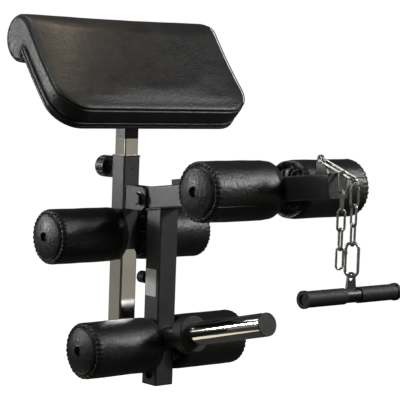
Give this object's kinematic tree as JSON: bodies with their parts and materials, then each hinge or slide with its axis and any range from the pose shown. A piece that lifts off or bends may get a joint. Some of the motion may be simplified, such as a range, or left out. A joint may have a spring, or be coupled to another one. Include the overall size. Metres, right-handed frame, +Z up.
{
  "type": "preacher curl and leg developer attachment",
  "caption": "Bench attachment with a sloping preacher pad on a sliding post, a swinging roller arm with a weight horn, and a chain with a pull handle.",
  "frame": {"origin": "middle of the bottom face of the square mounting post", "axes": "+Z up, -Y forward along the arm, X left to right along the roller axles"},
  "size_m": [0.53, 0.8416, 0.8054],
  "materials": {
    "black_powder_coat": "satin black powder coat",
    "chrome": "mirror chrome",
    "black_vinyl": "black leather-grain vinyl",
    "black_rubber": "matt black rubber",
    "black_plastic": "satin moulded black plastic",
    "zinc": "bright zinc plating",
    "bronze": "sintered bronze"
  },
  "bodies": {
    "frame": {"mounting_post": "chrome", "post_foot_cap": "black_plastic", "upright_tube": "black_powder_coat", "sleeve_bushing": "black_plastic", "pivot_clevis": "black_powder_coat", "pivot_bolt": "black_powder_coat", "pivot_nut": "zinc", "pivot_washers": "zinc", "knob_boss": "black_powder_coat", "axle_b": "black_powder_coat", "axle_b_plugs": "black_plastic"},
    "arm": {"arm_bar": "black_powder_coat", "arm_tongue": "black_powder_coat", "pivot_bushing": "bronze", "arm_leg": "black_powder_coat", "bar_end_cap": "black_plastic", "leg_end_cap": "black_plastic", "horn_base": "black_powder_coat", "horn_collar": "black_plastic", "horn_sleeve": "chrome", "horn_cap": "black_plastic", "buffer_pad": "black_rubber", "bumper_stem": "black_powder_coat", "bumper_tip": "black_rubber", "chain_tab": "black_powder_coat", "axle_a": "black_powder_coat", "axle_a_plugs": "black_plastic", "axle_c": "black_powder_coat", "axle_c_plugs": "black_plastic"},
    "pad_carriage": {"pad_post": "chrome", "pad_neck": "black_powder_coat", "pad_plate": "black_powder_coat", "pad_board": "black_vinyl", "pad_cushion": "black_vinyl", "pad_bolts": "zinc"},
    "lock_knob": {"knob_grip": "black_plastic", "knob_screw": "zinc"},
    "roller_a_left": {"roller_a_left": "black_vinyl", "roller_a_left_core": "black_plastic"},
    "roller_a_right": {"roller_a_right": "black_vinyl", "roller_a_right_core": "black_plastic"},
    "roller_b_left": {"roller_b_left": "black_vinyl", "roller_b_left_core": "black_plastic"},
    "roller_b_right": {"roller_b_right": "black_vinyl", "roller_b_right_core": "black_plastic"},
    "roller_c_left": {"roller_c_left": "black_vinyl", "roller_c_left_core": "black_plastic"},
    "roller_c_right": {"roller_c_right": "black_vinyl", "roller_c_right_core": "black_plastic"},
    "top_snap": {"top_snap_hook": "zinc"},
    "top_gate": {"top_snap_gate": "zinc"},
    "main_strand": {"chain_main": "zinc"},
    "tail_strand": {"chain_tail": "zinc"},
    "bottom_snap": {"bottom_snap_hook": "zinc"},
    "bottom_gate": {"bottom_snap_gate": "zinc"},
    "handle": {"handle_bar": "black_powder_coat", "handle_eye": "black_powder_coat", "handle_grip_left": "black_rubber", "handle_grip_right": "black_rubber"}
  },
  "joints": [
    {"name": "arm_swing", "type": "hinge", "parent": "frame", "child": "arm", "pos_m": [0, -0.076, 0.336], "axis": [-1, 0, 0], "range_deg": [0, 50]},
    {"name": "pad_height", "type": "slide", "parent": "frame", "child": "pad_carriage", "axis": [0, 0, 1], "range_m": [-0.035, 0.08]},
    {"name": "knob_turn", "type": "hinge", "parent": "frame", "child": "lock_knob", "pos_m": [0, 0.05, 0.3985], "axis": [0, 1, 0], "range_deg": [0, 720]},
    {"name": "roller_a_left_spin", "type": "hinge", "parent": "arm", "child": "roller_a_left", "pos_m": [0, -0.4994, 0.38893], "axis": [1, 0, 0], "continuous": true},
    {"name": "roller_a_right_spin", "type": "hinge", "parent": "arm", "child": "roller_a_right", "pos_m": [0, -0.4994, 0.38893], "axis": [1, 0, 0], "continuous": true},
    {"name": "roller_b_left_spin", "type": "hinge", "parent": "frame", "child": "roller_b_left", "pos_m": [0, 0, 0.25], "axis": [1, 0, 0], "continuous": true},
    {"name": "roller_b_right_spin", "type": "hinge", "parent": "frame", "child": "roller_b_right", "pos_m": [0, 0, 0.25], "axis": [1, 0, 0], "continuous": true},
    {"name": "roller_c_left_spin", "type": "hinge", "parent": "arm", "child": "roller_c_left", "pos_m": [0, -0.137, 0.019], "axis": [1, 0, 0], "continuous": true},
    {"name": "roller_c_right_spin", "type": "hinge", "parent": "arm", "child": "roller_c_right", "pos_m": [0, -0.137, 0.019], "axis": [1, 0, 0], "continuous": true},
    {"name": "top_snap_swing", "type": "hinge", "parent": "arm", "child": "top_snap", "pos_m": [0, -0.624, 0.459], "axis": [-1, 0, 0], "range_deg": [0, 130]},
    {"name": "top_gate_press", "type": "hinge", "parent": "top_snap", "child": "top_gate", "pos_m": [-0.0093, -0.64083, 0.45321], "axis": [0, -0.3256, 0.9455], "range_deg": [0, 9], "stiffness_Nm_per_rad": 0.02},
    {"name": "main_strand_swing", "type": "hinge", "parent": "top_snap", "child": "main_strand", "pos_m": [0, -0.72, 0.4165], "axis": [-1, 0, 0], "range_deg": [0, 75]},
    {"name": "tail_strand_swing", "type": "hinge", "parent": "top_snap", "child": "tail_strand", "pos_m": [-0.0093, -0.69586, 0.43426], "axis": [0, -0.9455, -0.3256], "range_deg": [-50, 2]},
    {"name": "bottom_snap_swing", "type": "hinge", "parent": "main_strand", "child": "bottom_snap", "pos_m": [0, -0.72, 0.2985], "axis": [0.9659, 0.2588, 0], "range_deg": [-12, 8]},
    {"name": "bottom_gate_press", "type": "hinge", "parent": "bottom_snap", "child": "bottom_gate", "pos_m": [-0.00717, -0.70976, 0.2837], "axis": [-0.8192, -0.5736, 0], "range_deg": [0, 12], "stiffness_Nm_per_rad": 0.02},
    {"name": "handle_tilt", "type": "hinge", "parent": "bottom_snap", "child": "handle", "pos_m": [0, -0.72, 0.2382], "axis": [0, 1, 0], "range_deg": [-30, 30]}
  ]
}
